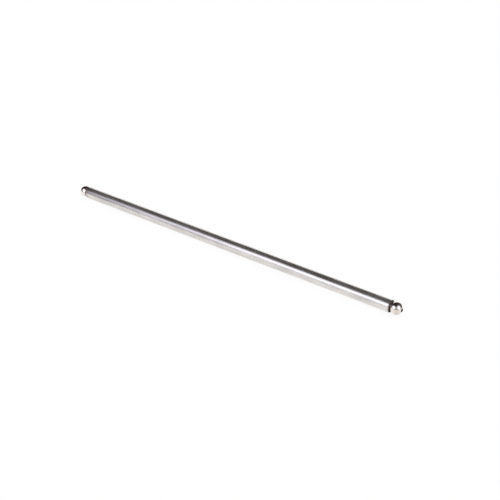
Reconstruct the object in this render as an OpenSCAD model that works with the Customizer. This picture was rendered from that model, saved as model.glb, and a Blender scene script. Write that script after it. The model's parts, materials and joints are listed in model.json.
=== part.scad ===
// Engine pushrod: a drawn steel tube with a hardened ball tip pressed into each end.
// The rod lies along X with its middle at the origin. Millimetres, +Z up.

/* [Rod] */
// Overall length, from the flat crown of one tip to the flat crown of the other
rod_length = 266.7; // [180:0.1:320]

/* [Tube] */
// Outside diameter of the tube, 5/16 inch
tube_d = 7.94; // [7:0.01:10]
// Wall thickness of the tube
tube_wall = 1.65; // [1.2:0.05:2]
// Edge break on the outside of each tube end
tube_edge = 0.15; // [0.1:0.05:0.5]
// Chamfer at each mouth of the tube's bore, which leads the shank in
bore_lead = 0.35; // [0.1:0.05:0.5]

/* [Ball tip] */
// Diameter of the ball, 5/16 inch
ball_d = 7.94; // [7:0.01:10]
// Width of the flat ring by which the collar sits on the tube's end
seat_width = 0.35; // [0.2:0.05:0.5]
// Length of the straight collar under the ball
collar_length = 0.9; // [0.2:0.05:1.5]
// Radius that blends the collar into the ball
collar_fillet = 0.3; // [0.1:0.05:0.5]
// Width of the flat ring left on the ball's crown around the oil hole
crown_land = 0.15; // [0.05:0.05:0.4]

/* [Shank] */
// Length of the shank inside the tube
shank_length = 9.5; // [5:0.1:20]
// Chamfer on the shank's leading end
shank_lead = 0.5; // [0.2:0.05:0.8]
// Gap between the shank and the bore, on the radius
press_gap = 0.01; // [0.005:0.005:0.03]

/* [Oil passage] */
// Diameter of the hole drilled through each tip
oil_hole_d = 2.0; // [1.5:0.1:2.6]
// Countersink at both mouths of that hole
oil_hole_chamfer = 0.15; // [0.1:0.05:0.3]

/* [Hidden] */
$fn = 128;
cut_margin = 1;

tube_r = tube_d / 2;
bore_r = tube_r - tube_wall;
shank_r = bore_r - press_gap;
oil_r = oil_hole_d / 2;
ball_r = ball_d / 2;
collar_r = bore_r + bore_lead + seat_width;

// The tip's heights are measured outward from the tube's end face.
// The blend is the inside of a ring that touches the collar and the ball, so it fixes the ball's centre.
// That centre is rounded down to a thousandth, which lets the ball bite into the blend by a hair.
blend_r = collar_r + collar_fillet;
blend_to_ball = sqrt(pow(ball_r + collar_fillet, 2) - pow(blend_r, 2));
ball_height = floor(1000 * (collar_length + blend_to_ball)) / 1000;
crown_r = oil_r + oil_hole_chamfer + crown_land;
crown_height = ball_height + sqrt(pow(ball_r, 2) - pow(crown_r, 2));
tube_length = rod_length - 2 * crown_height;

// Lays a shape that was turned about Z along the rod.
module along_rod() {
    rotate([0, 90, 0]) children();
}

// Half section of the tube, from its outside to its bore.
module tube_section() {
    half = tube_length / 2;
    polygon([
        [bore_r + bore_lead, -half],
        [tube_r - tube_edge, -half],
        [tube_r, -half + tube_edge],
        [tube_r, half - tube_edge],
        [tube_r - tube_edge, half],
        [bore_r + bore_lead, half],
        [bore_r, half - bore_lead],
        [bore_r, -half + bore_lead]
    ]);
}

// Half section of the shank and of the collar that stops it at the tube's end.
module shank_section() {
    polygon([
        [0, -shank_length],
        [shank_r - shank_lead, -shank_length],
        [shank_r, -shank_length + shank_lead],
        [shank_r, 0],
        [collar_r, 0],
        [collar_r, collar_length],
        [0, collar_length]
    ]);
}

// Half section of the hollow blend between the collar and the ball.
module blend_section() {
    difference() {
        polygon([[0, collar_length], [blend_r, collar_length], [0, ball_height]]);
        translate([blend_r, collar_length]) circle(r = collar_fillet);
    }
}

// The ball, cut off at its crown and at the collar.
module ball() {
    intersection() {
        translate([0, 0, ball_height]) sphere(r = ball_r);
        translate([0, 0, collar_length]) cylinder(r = tube_d, h = crown_height - collar_length);
    }
}

// The drilled hole, with a countersink at both mouths.
module oil_passage() {
    translate([0, 0, -shank_length - cut_margin])
        cylinder(r = oil_r, h = shank_length + crown_height + 2 * cut_margin);
    translate([0, 0, crown_height - oil_hole_chamfer])
        cylinder(r1 = oil_r, r2 = oil_r + oil_hole_chamfer, h = oil_hole_chamfer);
    translate([0, 0, -shank_length])
        cylinder(r1 = oil_r + oil_hole_chamfer, r2 = oil_r, h = oil_hole_chamfer);
}

module ball_tip() {
    difference() {
        union() {
            rotate_extrude() shank_section();
            rotate_extrude() blend_section();
            ball();
        }
        oil_passage();
    }
}

module tube() {
    color("lightsteelblue") along_rod() rotate_extrude() tube_section();
}

module rocker_tip() {
    color("silver") translate([tube_length / 2, 0, 0]) along_rod() ball_tip();
}

module lifter_tip() {
    color("silver") mirror([1, 0, 0]) translate([tube_length / 2, 0, 0]) along_rod() ball_tip();
}

tube();
rocker_tip();
lifter_tip();
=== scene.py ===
# %% [markdown]
# # A steel pushrod
# A pushrod stands between the cam follower and the rocker arm of an overhead-valve engine. It is a
# straight steel tube with a hardened ball tip pressed into each end, and oil runs through its middle.
# This lesson takes the solids of the finished design, turns a fine mesh for each piece on a virtual
# lathe, gives the steel its finish, and lights it on a plain white table.

# %% Load the solids
import json
import math
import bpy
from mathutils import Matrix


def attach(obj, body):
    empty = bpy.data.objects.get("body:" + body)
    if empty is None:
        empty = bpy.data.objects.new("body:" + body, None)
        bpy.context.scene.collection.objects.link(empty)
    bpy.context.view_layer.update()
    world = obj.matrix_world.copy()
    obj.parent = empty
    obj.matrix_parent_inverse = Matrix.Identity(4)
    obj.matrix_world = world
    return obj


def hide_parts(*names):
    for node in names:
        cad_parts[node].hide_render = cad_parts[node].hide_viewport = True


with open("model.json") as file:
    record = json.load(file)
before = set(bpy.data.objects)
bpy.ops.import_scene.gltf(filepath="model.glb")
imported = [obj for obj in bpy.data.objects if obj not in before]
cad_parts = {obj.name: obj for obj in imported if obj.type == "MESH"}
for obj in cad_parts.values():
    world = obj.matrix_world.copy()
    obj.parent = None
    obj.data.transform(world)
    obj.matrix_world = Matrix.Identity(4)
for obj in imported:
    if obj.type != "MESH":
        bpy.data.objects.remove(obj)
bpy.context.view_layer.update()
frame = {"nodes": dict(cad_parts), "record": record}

from types import SimpleNamespace

import bmesh
import bpy
from mathutils import Matrix, Vector

print("pieces of the solid model:", sorted(frame["nodes"]))

# %% [markdown]
# ## Measure before cutting
# A turner measures the drawing first. Every piece here is round about the rod, so its form is given by
# rings of vertices: each ring has a place along the rod and a radius. Sizes that are read from those
# rings never drift away from the solids. Lengths are in metres, the rod lies along X, and its middle is
# the origin.

# %% Read the rings of the tube and of one tip
MM = 0.001


def rings(node):
    """Place along X and radius of each ring of vertices at +X, to a tenth of a micrometre."""
    corners = [v.co for v in frame["nodes"][node].data.vertices if v.co.x > 0]
    return sorted({(round(co.x, 7), round(math.hypot(co.y, co.z), 7)) for co in corners})


def radii_at(ring_list, place):
    """The radii of the rings in one plane, smallest first."""
    near_enough = 0.002 * MM
    return sorted(radius for x, radius in ring_list if abs(x - place) < near_enough)


def last_place(ring_list, radius):
    """How far along the rod the rings of one radius reach."""
    near_enough = 0.0005 * MM
    return max(x for x, r in ring_list if abs(r - radius) < near_enough)


tube_rings = rings("tube")
tip_rings = rings("rocker_tip")
mounts = {mount["name"]: mount for mount in frame["record"]["mounts"]}
print("rings on half a tube:", len(tube_rings), "and on a tip:", len(tip_rings))

# %% Name the sizes of the tube
tube_end = tube_rings[-1][0]
tube_r = max(radius for x, radius in tube_rings)
bore_r = min(radius for x, radius in tube_rings)
bore_mouth_r, tube_face_r = radii_at(tube_rings, tube_end)
wall_end = last_place(tube_rings, tube_r)
bore_end = last_place(tube_rings, bore_r)
tube_sizes = (2 * tube_end / MM, 2 * tube_r / MM, 2 * bore_r / MM)
print("tube: length %.2f mm, outside %.2f mm, bore %.2f mm" % tube_sizes)

# %% Name the sizes of a tip
shank_end = tip_rings[0][0]
crown = tip_rings[-1][0]
hole_mouth_r, crown_r = radii_at(tip_rings, crown)
shank_tip_r = radii_at(tip_rings, shank_end)[-1]
shank_r, collar_r = radii_at(tip_rings, tube_end)
hole_r = min(radius for x, radius in tip_rings)
hole_end = last_place(tip_rings, hole_r)
hole_start = shank_end + (crown - hole_end)
shank_full = min(x for x, radius in tip_rings if radius == shank_r)
collar_end = last_place(tip_rings, collar_r)
ball_x = mounts["rocker_ball"]["pos_m"][0]
ball_r = mounts["rocker_ball"]["dims"]["r_mm"] * MM
tip_sizes = (2 * ball_r / MM, 2 * collar_r / MM, 2 * hole_r / MM)
print("tip: ball %.2f mm, collar %.2f mm, hole %.2f mm" % tip_sizes)

# %% [markdown]
# ## Outlines for the lathe
# A lathe tool follows an outline while the work turns. Each piece gets a closed outline of points, a
# place along the rod and a radius, with true arcs for the ball and for the blend under it. No steel edge
# is knife sharp, so a second function eases each hard corner into a tiny arc, which later catches a thin
# line of light.

# %% Tools for outlines
def arc(centre, radius, start, stop, steps):
    """Points along an arc. Angles are in radians, from the rod's direction toward larger radii."""
    angles = [start + (stop - start) * i / steps for i in range(steps + 1)]
    return [Vector((centre[0] + radius * math.cos(a), centre[1] + radius * math.sin(a))) for a in angles]


def eased(outline, radius, hard_corner=math.radians(25), steps=4):
    """The closed outline with an arc of the given radius in place of each hard corner."""
    result = []
    for i, corner in enumerate(outline):
        before = (outline[i - 1] - corner).normalized()
        after = (outline[(i + 1) % len(outline)] - corner).normalized()
        turn = math.pi - before.angle(after)
        if turn < hard_corner:
            result.append(corner)
            continue
        setback = radius * math.tan(turn / 2)
        inward = (before + after).normalized() * math.hypot(setback, radius)
        start = before * setback - inward
        sweep = start.angle_signed(after * setback - inward)
        first_angle = math.atan2(start.y, start.x)
        result += arc(corner + inward, radius, first_angle, first_angle - sweep, steps)
    return result


def spread(outline, longest):
    """The closed outline with long straight stretches cut into steps no longer than the given length."""
    result = []
    for i, start in enumerate(outline):
        stop = outline[(i + 1) % len(outline)]
        steps = max(1, math.ceil((stop - start).length / longest))
        result += [start.lerp(stop, k / steps) for k in range(steps)]
    return result


def draw(*points):
    """Outline points from pairs of a place along the rod and a radius."""
    return [Vector(point) for point in points]


edge_ease = 0.05 * MM
print("hard corners are eased to %.2f mm" % (edge_ease / MM))

# %% [markdown]
# ## From outline to steel
# Blender has a spin tool and a screw modifier for turned work. Here the faces are made one by one
# instead, because then each corner also gets its place on a flat map: around the rod in one direction and
# along the outline in the other. A Weighted Normal modifier keeps the long faces shading straight up to
# their eased edges.

# %% The lathe
segments = 128


def turned(name, outline):
    """A closed solid of revolution about X, with smooth faces and a flat map."""
    mesh = bpy.data.meshes.new(name)
    bm = bmesh.new()
    loops = []
    for step in range(segments):
        angle = 2 * math.pi * step / segments
        loops.append([bm.verts.new((p.x, p.y * math.cos(angle), p.y * math.sin(angle))) for p in outline])
    run = [0.0]
    for i, point in enumerate(outline):
        run.append(run[-1] + (outline[(i + 1) % len(outline)] - point).length)
    flat_map = bm.loops.layers.uv.new("OFBake")
    count = len(outline)
    for step in range(segments):
        here, there = loops[step], loops[(step + 1) % segments]
        for i in range(count):
            j = (i + 1) % count
            face = bm.faces.new((here[i], here[j], there[j], there[i]))
            face.smooth = True
            places = ((i, step), (i + 1, step), (i + 1, step + 1), (i, step + 1))
            for corner, (along, around) in zip(face.loops, places):
                corner[flat_map].uv = (around / segments, run[along] / run[-1])
    bmesh.ops.recalc_face_normals(bm, faces=bm.faces)
    bm.to_mesh(mesh)
    bm.free()
    piece = bpy.data.objects.new(name, mesh)
    bpy.context.collection.objects.link(piece)
    piece.modifiers.new("straight shading", "WEIGHTED_NORMAL")
    print(name, "has", len(mesh.polygons), "faces")
    return piece


print("one turn of the lathe has", segments, "steps")

# %% [markdown]
# ## The tube
# The tube is cut square from drawn steel and its ends are touched with a countersink, so it has a small
# edge break outside and a lead-in at the bore for the shank. The wall is cut into short steps, because
# faces that are long and thin are hard to use again.

# %% Turn the tube
tube_step = 4 * MM
half_outline = [
    (bore_end, bore_r),
    (tube_end, bore_mouth_r),
    (tube_end, tube_face_r),
    (wall_end, tube_r),
]
tube_corners = half_outline + [(-x, radius) for x, radius in reversed(half_outline)]
tube_outline = spread(eased(draw(*tube_corners), edge_ease), tube_step)
steel_tube = turned("steel_tube", tube_outline)
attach(steel_tube, "root")
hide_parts("tube")

# %% [markdown]
# ## The ball tips
# A tip is turned from bar in one setting: a ball of the tube's own diameter, a short collar that stops on
# the tube's end, and a shank that is pressed into the bore. The hole through it carries oil. The blend
# between ball and collar touches both, so its radius follows from the other sizes by Pythagoras.

# %% Draw the outline of a tip
ball_steps = 72
blend_steps = 8
tip_step = 1 * MM

ball_to_collar = ball_x - collar_end
blend_r = (ball_to_collar ** 2 + collar_r ** 2 - ball_r ** 2) / (2 * (ball_r - collar_r))
blend_centre = (collar_end, collar_r + blend_r)
crown_angle = math.asin(crown_r / ball_r)
blend_angle = math.atan2(collar_r + blend_r, -ball_to_collar)
ball_arc = arc((ball_x, 0), ball_r, crown_angle, blend_angle, ball_steps)
blend_arc = arc(blend_centre, blend_r, blend_angle - math.pi, -math.pi / 2, blend_steps)
tip_corners = ball_arc + blend_arc[1:] + draw(
    (tube_end, collar_r),
    (tube_end, shank_r),
    (shank_full, shank_r),
    (shank_end, shank_tip_r),
    (shank_end, hole_mouth_r),
    (hole_start, hole_r),
    (hole_end, hole_r),
    (crown, hole_mouth_r),
)
tip_outline = spread(eased(tip_corners, edge_ease), tip_step)
print("blend radius %.3f mm, outline of %d points" % (blend_r / MM, len(tip_outline)))

# %% Turn both tips
rocker_ball_tip = turned("rocker_ball_tip", tip_outline)
lifter_outline = [Vector((-point.x, point.y)) for point in tip_outline]
lifter_ball_tip = turned("lifter_ball_tip", lifter_outline)
for piece, node in ((rocker_ball_tip, "rocker_tip"), (lifter_ball_tip, "lifter_tip")):
    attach(piece, "root")
    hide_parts(node)

# %% [markdown]
# ## Nodes in few words
# A finish in Blender is a small network of nodes. One function makes any node: it takes the node's kind,
# a value or a wire for each input, and the node's settings. The other helpers are short names for the
# nodes that are used most.

# %% Tools for node networks
def node(tree, kind, inputs=None, **settings):
    """A new node in the tree. Each input is a plain value or another node's output."""
    made = tree.nodes.new("ShaderNode" + kind)
    for name, value in settings.items():
        setattr(made, name, value)
    for socket, value in (inputs or {}).items():
        if isinstance(value, bpy.types.NodeSocket):
            tree.links.new(value, made.inputs[socket])
        else:
            made.inputs[socket].default_value = value
    return made


def number(tree, operation, *values):
    """What a math node makes of some values."""
    return node(tree, "Math", dict(enumerate(values)), operation=operation).outputs[0]


def fade(tree, value, start, stop):
    """0 before start and 1 after stop, with a soft change between them."""
    limits = {"Value": value, "From Min": start, "From Max": stop}
    return node(tree, "MapRange", limits, interpolation_type="SMOOTHSTEP").outputs["Result"]


# %% [markdown]
# Real steel is never one even colour. A picture of steel could be wrapped around the rod, but it would
# blur close up and show a seam. Noise nodes are worked out afresh at each spot, so they stay sharp and
# have no seam.

# %% Tools for grain and colour
def grain(tree, place, stretch, detail=2.0):
    """Random grain from 0 to 1. The stretch is the number of grains to the metre along X, Y and Z."""
    scaled = node(tree, "VectorMath", {0: place, 1: stretch}, operation="MULTIPLY").outputs["Vector"]
    return node(tree, "TexNoise", {"Vector": scaled, "Scale": 1.0, "Detail": detail}).outputs[0]


def varied(tree, base, *parts):
    """A base value that goes up and down with some grains, each with its own reach."""
    total = base - sum(reach for value, reach in parts) / 2
    for value, reach in parts:
        total = number(tree, "MULTIPLY_ADD", value, reach, total)
    return total


def bumps(tree, *layers):
    """A surface normal that is rippled by grains, each with a height in metres."""
    normal = None
    for height, depth in layers:
        inputs = {"Height": height, "Distance": depth}
        if normal:
            inputs["Normal"] = normal
        normal = node(tree, "Bump", inputs).outputs["Normal"]
    return normal


def layered(tree, share, below, above):
    """One colour over another, by its share."""
    return node(tree, "MixRGB", {"Fac": share, "Color1": below, "Color2": above}).outputs["Color"]


def tinted(tree, colour, brightness):
    """A colour made lighter or darker from spot to spot."""
    return node(tree, "VectorMath", {0: colour, "Scale": brightness}, operation="SCALE").outputs["Vector"]


# %% [markdown]
# Both steels of the rod start alike: a metal, and a few facts about each spot, such as how far it is from
# the rod's middle and from its axis. The stains and the painted shade need those facts.

# %% A steel to start from
def new_steel(name, metallic):
    """A bare metal, and what its grain has to know of a spot: its place, and how it lies on the rod."""
    material = bpy.data.materials.new(name)
    material.use_nodes = True
    tree = material.node_tree
    shader = tree.nodes["Principled BSDF"]
    shader.inputs["Metallic"].default_value = metallic
    place = node(tree, "TexCoord").outputs["Object"]
    x, y, z = node(tree, "SeparateXYZ", {"Vector": place}).outputs
    flat = node(tree, "CombineXYZ", {"Y": y, "Z": z}).outputs["Vector"]
    spot = SimpleNamespace(
        place=place,
        outward=number(tree, "ABSOLUTE", x),
        radius=node(tree, "VectorMath", {0: flat}, operation="LENGTH").outputs["Value"],
        height=z,
        at_lifter=fade(tree, x, 0.0, -tube_end),
    )
    return material, tree, shader, spot


# %% [markdown]
# ## Ground steel for the tube
# The tube was drawn through a die, which leaves faint lines along it, and then ground between two wheels,
# which leaves very fine rings around it. A film of oil lies on it in patches. The film scatters a little
# light, so the steel is a shade less than fully metallic, and a few dark specks of dirt stick in it.

# %% Grow the tube's grain
tube_colour = (0.70, 0.667, 0.646)
filmed_metallic = 0.92
speck_darkness = 0.35

ground_steel, tree, shader, spot = new_steel("ground steel", filmed_metallic)
wheel_rings = grain(tree, spot.place, (9000, 250, 250))
draw_lines = grain(tree, spot.place, (25, 1500, 1500), detail=3)
oil_film = grain(tree, spot.place, (70, 260, 260), detail=3)
long_waves = grain(tree, spot.place, (45, 60, 60), detail=1)
dirt = grain(tree, spot.place, (1300, 1300, 1300), detail=1)
specks = fade(tree, dirt, 0.72, 0.80)

brightness = varied(tree, 1.0, (oil_film, 0.7), (draw_lines, 0.18), (wheel_rings, 0.05))
brightness = number(tree, "MULTIPLY_ADD", specks, -speck_darkness, brightness)
bare_tube = tinted(tree, tube_colour, brightness)
print("the tube's grain has", len(tree.nodes), "nodes")

# %% [markdown]
# A brown painted shade lies around the collar on the tube's end face, in the joint where the ball meets
# the tube. It is widest at the bottom, under the ball, and on top, where it is thinner and reaches the
# rim. A paler stain lies on the outside, next to the rim. It is longer at the lifter end, which is the
# lower one in the engine. The bore is painted near black as shade.

# %% Paint shade on the tube's end faces
# Brown for a stain of dried oil on the tube's outside, and for the painted shade at the joints
dried_oil_and_shade = (0.085, 0.058, 0.041, 1)
# Near black for the painted shade in the bore and in the oil holes
painted_hole_shade = (0.03, 0.021, 0.015, 1)
face_margin = 0.1 * MM
face_shade_width = 0.1 * MM
face_shade_edge = 0.1 * MM
more_at_bottom = 0.6 * MM
more_on_top = 1.2 * MM
thinner_on_top = 0.3

on_face = fade(tree, spot.outward, wall_end - face_margin, tube_end - face_margin)
at_bottom = fade(tree, spot.height, -0.5 * MM, -3.0 * MM)
at_top = fade(tree, spot.height, 2.2 * MM, 3.0 * MM)
# Painted shade in the joint: a brown ring on the end face around the collar, wider at the bottom and on
# top
face_shade_r = number(tree, "MULTIPLY_ADD", at_bottom, more_at_bottom, collar_r + face_shade_width)
face_shade_r = number(tree, "MULTIPLY_ADD", at_top, more_on_top, face_shade_r)
in_face_shade = fade(tree, number(tree, "SUBTRACT", spot.radius, face_shade_r), face_shade_edge, 0.0)
painted_face_shade = number(tree, "MULTIPLY", on_face, in_face_shade)
face_shade_depth = number(tree, "MULTIPLY_ADD", at_top, -thinner_on_top, 1.0)
painted_face_shade = number(tree, "MULTIPLY", painted_face_shade, face_shade_depth)
print("with its crust it has", len(tree.nodes), "nodes")

# %% Stain the outside and paint shade in the bore
stain_strength = 0.3
stain_length = 1.0 * MM
lifter_stain_length = 5.0 * MM
stain_raggedness = 0.6 * MM

ragged = number(tree, "ADD", spot.outward, varied(tree, 0.0, (dirt, stain_raggedness)))
near_rim = fade(tree, ragged, tube_end - stain_length, tube_end)
near_lifter = fade(tree, ragged, tube_end - lifter_stain_length, tube_end)
rim_stain = number(tree, "MULTIPLY", near_rim, stain_strength)
lifter_stain = number(tree, "MULTIPLY", near_lifter, stain_strength)
rim_stain = number(tree, "MULTIPLY_ADD", spot.at_lifter, lifter_stain, rim_stain)
rim_stain = number(tree, "MULTIPLY", rim_stain, number(tree, "SUBTRACT", 1.0, on_face))
# Painted shade: the bore is painted near black
in_bore = fade(tree, spot.radius, bore_mouth_r, bore_r)
colour = layered(tree, rim_stain, bare_tube, dried_oil_and_shade)
colour = layered(tree, painted_face_shade, colour, dried_oil_and_shade)
colour = layered(tree, in_bore, colour, painted_hole_shade)
print("with its stains it has", len(tree.nodes), "nodes")

# %% [markdown]
# The outside of the tube is smooth. Its end face was only cut off, so it is rough and almost matt.

# %% Set the tube's shine
MICRON = 1e-6
tube_roughness = 0.26
rougher_face = 0.6
rougher_bore = 0.25

roughness = varied(tree, tube_roughness, (oil_film, 0.16), (draw_lines, 0.10), (wheel_rings, 0.08))
roughness = number(tree, "MULTIPLY_ADD", on_face, rougher_face, roughness)
roughness = number(tree, "MULTIPLY_ADD", in_bore, rougher_bore, roughness)
waves = (long_waves, 12 * MICRON)
scratches = ((draw_lines, 0.8 * MICRON), (wheel_rings, 0.25 * MICRON))
ripples = bumps(tree, waves, *scratches)
tree.links.new(colour, shader.inputs["Base Color"])
tree.links.new(roughness, shader.inputs["Roughness"])
tree.links.new(ripples, shader.inputs["Normal"])
steel_tube.data.materials.append(ground_steel)
print("ground steel:", len(tree.nodes), "nodes")

# %% [markdown]
# ## Polished steel for the balls
# A ball tip is hardened and then lapped against a rotating cup, so the ball is almost a mirror, with
# faint rings about the rod. The neck behind it is out of the lap's reach: it stays as turned. Where ball
# and tube meet it gets a brown painted shade with a ragged edge, thinner on top, which comes a little
# further up the ball at the lifter end. The oil hole is as drilled, and painted near black as shade.

# %% Grow the balls' grain
ball_colour = (0.85, 0.80, 0.76)

polished_steel, tree, shader, spot = new_steel("polished steel", 1.0)
lap_rings = grain(tree, spot.place, (14000, 180, 180))
haze = grain(tree, spot.place, (500, 500, 500), detail=3)
crumbs = grain(tree, spot.place, (2500, 2500, 2500), detail=3)
bare_ball = tinted(tree, ball_colour, varied(tree, 1.0, (haze, 0.06), (lap_rings, 0.04)))
print("the balls' grain has", len(tree.nodes), "nodes")

# %% Paint shade on the necks and in the holes
neck_raggedness = 0.4 * MM
further_at_lifter = 0.2 * MM
thinner_on_neck = 0.5
hole_rim = 0.12 * MM

# Painted shade on the neck where ball and tube meet: ragged, thinner on top, further up at the lifter end
ragged = number(tree, "ADD", spot.outward, varied(tree, -collar_end, (crumbs, neck_raggedness)))
up_the_ball = number(tree, "MULTIPLY_ADD", spot.at_lifter, -further_at_lifter, ragged)
on_top = fade(tree, spot.height, 1.5 * MM, 2.8 * MM)
in_neck = fade(tree, up_the_ball, 0.30 * MM, 0.05 * MM)
neck_depth = number(tree, "MULTIPLY_ADD", on_top, -thinner_on_neck, 1.0)
in_neck = number(tree, "MULTIPLY", in_neck, neck_depth)
# Painted shade: the oil hole and a thin ring around its mouth are painted near black
in_hole = fade(tree, spot.radius, hole_mouth_r + hole_rim, hole_mouth_r)
colour = layered(tree, in_neck, bare_ball, dried_oil_and_shade)
colour = layered(tree, in_hole, colour, painted_hole_shade)
print("with their oil they have", len(tree.nodes), "nodes")

# %% Set the balls' shine
ball_roughness = 0.06
rougher_neck = 0.35
rougher_hole = 0.30

roughness = varied(tree, ball_roughness, (haze, 0.04), (lap_rings, 0.03))
roughness = number(tree, "MULTIPLY_ADD", in_neck, rougher_neck, roughness)
roughness = number(tree, "MULTIPLY_ADD", in_hole, rougher_hole, roughness)
ripples = bumps(tree, (haze, 0.5 * MICRON), (lap_rings, 0.1 * MICRON))
tree.links.new(colour, shader.inputs["Base Color"])
tree.links.new(roughness, shader.inputs["Roughness"])
tree.links.new(ripples, shader.inputs["Normal"])
for piece in (rocker_ball_tip, lifter_ball_tip):
    piece.data.materials.append(polished_steel)
print("polished steel:", len(tree.nodes), "nodes")

# %% [markdown]
# ## The camera
# The rod is seen from a little above, turned so that the rocker end comes toward the viewer. Azimuth and
# elevation say from where, and the camera aims a little beside the middle of the rod.

# %% Place the camera
view_azimuth = math.radians(37.96)
view_elevation = math.radians(28.73)
view_distance = 0.72855
aim_right = 0.01549
aim_down = 0.00379
lens_mm = 80.12

toward_viewer = Vector((math.sin(view_azimuth), -math.cos(view_azimuth), 0))
view_right = Vector((math.cos(view_azimuth), math.sin(view_azimuth), 0))
view_back = toward_viewer * math.cos(view_elevation) + Vector((0, 0, math.sin(view_elevation)))
view_up = view_back.cross(view_right)
aim = view_right * aim_right - view_up * aim_down

camera_data = bpy.data.cameras.new("camera")
camera_data.lens = lens_mm
camera_data.clip_start = 0.01
camera = bpy.data.objects.new("camera", camera_data)
bpy.context.collection.objects.link(camera)
camera.matrix_world = Matrix.Translation(aim + view_back * view_distance) @ Matrix(
    (view_right, view_up, view_back)
).transposed().to_4x4()
bpy.context.scene.camera = camera
print("camera at", [round(v, 3) for v in camera.matrix_world.translation])

# %% [markdown]
# ## A white table
# The rod lies on a white sheet. Plain paper would need stronger lamps to look pure white, and those would
# light the steel too. So, to the camera and in the steel, the sheet mostly shines by itself at a strength
# of 1, which is white. The rest is an ordinary white surface, so the rod still has a soft shadow under
# it. In the glow that the steel sees, a painted shade makes the sheet in front of the ball a little
# dimmer and warmer.

# %% Lay the sheet
sheet_half = 4.0
sheet_z = -tube_r

sheet_mesh = bpy.data.meshes.new("white_sheet")
sheet_mesh.from_pydata(
    [(x * sheet_half, y * sheet_half, sheet_z) for x, y in ((-1, -1), (1, -1), (1, 1), (-1, 1))],
    [],
    [(0, 1, 2, 3)],
)
white_sheet = bpy.data.objects.new("white_sheet", sheet_mesh)
bpy.context.collection.objects.link(white_sheet)
print("white sheet at height %.2f mm" % (sheet_z / MM))

# %% Paint the sheet
sheet_glow = 0.93
sheet_white = (0.95, 0.95, 0.95, 1)
pure_white = (1, 1, 1, 1)
# Painted shade in the glow of the sheet in front of the ball, seen only in the steel
painted_front_shade = (0.82, 0.79, 0.76, 1)
# Cosines of the angle between two headings from the ball: toward a spot of the sheet and the viewer
shade_edge = 0.62
shade_core = 0.97

sheet_paint = bpy.data.materials.new("white paper")
sheet_paint.use_nodes = True
tree = sheet_paint.node_tree
tree.nodes.clear()
rays = node(tree, "LightPath").outputs
seen = number(tree, "MAXIMUM", rays["Is Camera Ray"], rays["Is Glossy Ray"])
seen = number(tree, "MAXIMUM", seen, rays["Is Transmission Ray"])
where = node(tree, "NewGeometry").outputs["Position"]
under_ball = (ball_x, 0, sheet_z)
from_ball = node(tree, "VectorMath", {0: where, 1: under_ball}, operation="SUBTRACT").outputs["Vector"]
heading = node(tree, "VectorMath", {0: from_ball}, operation="NORMALIZE").outputs["Vector"]
headings = {0: heading, 1: toward_viewer}
in_front = node(tree, "VectorMath", headings, operation="DOT_PRODUCT").outputs["Value"]
# Painted shade: the glow seen in the steel is dimmer and warmer on the sheet in front of the ball
shaded = number(tree, "MULTIPLY", fade(tree, in_front, shade_edge, shade_core), rays["Is Glossy Ray"])
glow = layered(tree, shaded, pure_white, painted_front_shade)
paper = node(tree, "BsdfDiffuse", {"Color": sheet_white}).outputs[0]
shine = node(tree, "Emission", {"Color": glow, "Strength": 1.0}).outputs[0]
glow_share = number(tree, "MULTIPLY", seen, sheet_glow)
mixed = node(tree, "MixShader", {0: glow_share, 1: paper, 2: shine}).outputs[0]
node(tree, "OutputMaterial", {"Surface": mixed})
sheet_mesh.materials.append(sheet_paint)
print("white paper:", len(tree.nodes), "nodes")

# %% [markdown]
# ## The studio
# Polished steel has no look of its own: it shows the room. The room here has a dark warm ceiling, a white
# sweep behind the table and a grey front, all drawn on the world as soft changes of brightness. The
# camera itself sees plain white behind the sheet.

# %% Directions in the room
def room_direction(left, height):
    """The direction of a place in the room, in degrees left of the viewer and above the table."""
    turn, tilt = math.radians(left), math.radians(height)
    level = toward_viewer * math.cos(turn) - view_right * math.sin(turn)
    return level * math.cos(tilt) + Vector((0, 0, math.sin(tilt)))


def along(tree, axis):
    """How far the ray's direction goes along an axis."""
    direction = node(tree, "TexCoord").outputs["Generated"]
    return node(tree, "VectorMath", {0: direction, 1: axis}, operation="DOT_PRODUCT").outputs["Value"]


def glow_patch(tree, left, height, full, end):
    """A round glow on the world: full to one angle from its middle, and gone at another."""
    closeness = along(tree, room_direction(left, height))
    return fade(tree, closeness, math.cos(math.radians(end)), math.cos(math.radians(full)))


print("the viewer is in the direction", [round(v, 2) for v in view_back])

# %% Draw the room on the world
ceiling_colour = (1.0, 0.72, 0.64, 1)
wall_colour = (0.97, 0.98, 1.0, 1)
ceiling_level = 0.03
front_level = 0.40
right_level = 0.1
horizon_level = 0.28

world = bpy.data.worlds.new("studio")
bpy.context.scene.world = world
world.use_nodes = True
tree = world.node_tree
tree.nodes.clear()
upward = along(tree, (0, 0, 1))
low = fade(tree, upward, 0.45, 0.33)
rear = fade(tree, along(tree, -toward_viewer), 0.80, 0.95)
sweep = number(tree, "MULTIPLY", low, rear)
front_patch = glow_patch(tree, left=5, height=15, full=10, end=68)
right_patch = glow_patch(tree, left=-85, height=45, full=10, end=50)
front = number(tree, "MULTIPLY", front_patch, front_level)
right_glow = number(tree, "MULTIPLY", right_patch, right_level)
horizon = number(tree, "MULTIPLY", fade(tree, upward, 0.3, 0.0), horizon_level)
front = number(tree, "MAXIMUM", front, horizon)
walls = number(tree, "ADD", number(tree, "MAXIMUM", sweep, front), right_glow)
ceiling = node(tree, "Background", {"Color": ceiling_colour, "Strength": ceiling_level}).outputs[0]
lit_walls = node(tree, "Background", {"Color": wall_colour, "Strength": walls}).outputs[0]
room = node(tree, "AddShader", {0: ceiling, 1: lit_walls}).outputs[0]
white = node(tree, "Background", {"Color": pure_white, "Strength": 1.0}).outputs[0]
is_camera = node(tree, "LightPath").outputs["Is Camera Ray"]
shown = node(tree, "MixShader", {0: is_camera, 1: room, 2: white}).outputs[0]
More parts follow.
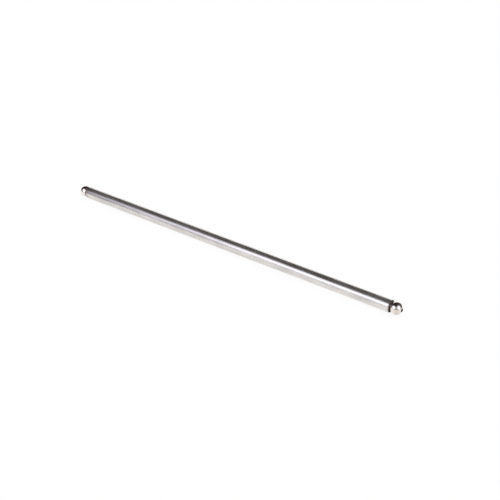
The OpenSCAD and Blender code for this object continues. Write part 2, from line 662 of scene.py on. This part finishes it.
node(tree, "OutputWorld", {"Surface": shown})
print("the room has", len(tree.nodes), "nodes")

# %% [markdown]
# ## Soft boxes
# Two soft boxes stand beside the table and look at the rod's near end. Each is an area lamp whose cloth
# is brightest in its middle and fades toward a dim, bluish rim. The near end of the tube mirrors the
# middle of the left cloth and the far end a place nearer its rim, so the tube's bright stripe grows
# darker with distance. The boxes only show in the steel: another lamp lights the sheet evenly.

# %% Set up the soft boxes
box_distance = 0.50
cloth_middle = (0.93, 0.95, 1.0, 1)
cloth_rim = (0.78, 0.82, 1.0, 1)
half_cloth = 0.5


def soft_box(name, left, height, width, tall, core, brightness):
    """An area lamp that looks at the rod's near end. Its cloth is full bright in its core."""
    lamp = bpy.data.lights.new(name, "AREA")
    lamp.shape = "RECTANGLE"
    lamp.size, lamp.size_y = width, tall
    # A larger cloth needs more power for the same brightness.
    lamp.energy = brightness * math.pi * width * tall
    lamp.use_nodes = True
    tree = lamp.node_tree
    cloth = node(tree, "NewGeometry").outputs["Parametric"]
    middle = (half_cloth, half_cloth, 0)
    off_middle = node(tree, "VectorMath", {0: cloth, 1: middle}, operation="DISTANCE").outputs["Value"]
    glow = fade(tree, off_middle, half_cloth, half_cloth * core)
    emission = tree.nodes["Emission"]
    tree.links.new(glow, emission.inputs["Strength"])
    tree.links.new(layered(tree, glow, cloth_rim, cloth_middle), emission.inputs["Color"])
    box = bpy.data.objects.new(name, lamp)
    bpy.context.collection.objects.link(box)
    toward = room_direction(left, height)
    box.location = Vector((ball_x, 0, 0)) + toward * box_distance
    box.rotation_euler = toward.to_track_quat("Z", "Y").to_euler()
    box.visible_camera = False
    box.visible_diffuse = False
    print(name, "at", [round(v, 2) for v in box.location])


soft_box("left_box", left=71.5, height=28.8, width=0.92, tall=0.66, core=0.0, brightness=2.15)
soft_box("right_box", left=-47.6, height=33.2, width=0.82, tall=1.00, core=0.13, brightness=1.50)

# %% [markdown]
# ## A light over the table
# The sheet has an even light of its own, which also gives the rod its shadow. An area lamp would be
# brighter below its middle, but a sun lamp lights every spot of the sheet alike. This one is very wide,
# as a cloudy sky is, so the shadow is soft. The steel does not mirror it.

# %% Hang a soft light over the table
overhead_data = bpy.data.lights.new("overhead", "SUN")
overhead_data.energy = 2.7
overhead_data.angle = math.radians(100)
overhead = bpy.data.objects.new("overhead", overhead_data)
bpy.context.collection.objects.link(overhead)
overhead.visible_glossy = False
print("overhead light of", overhead_data.energy)

# %% [markdown]
# ## The picture's colours
# The Standard view shows a strength of 1 as plain white, where a film-like view would make it grey.

# %% Set the picture's colours
bpy.context.scene.view_settings.view_transform = "Standard"
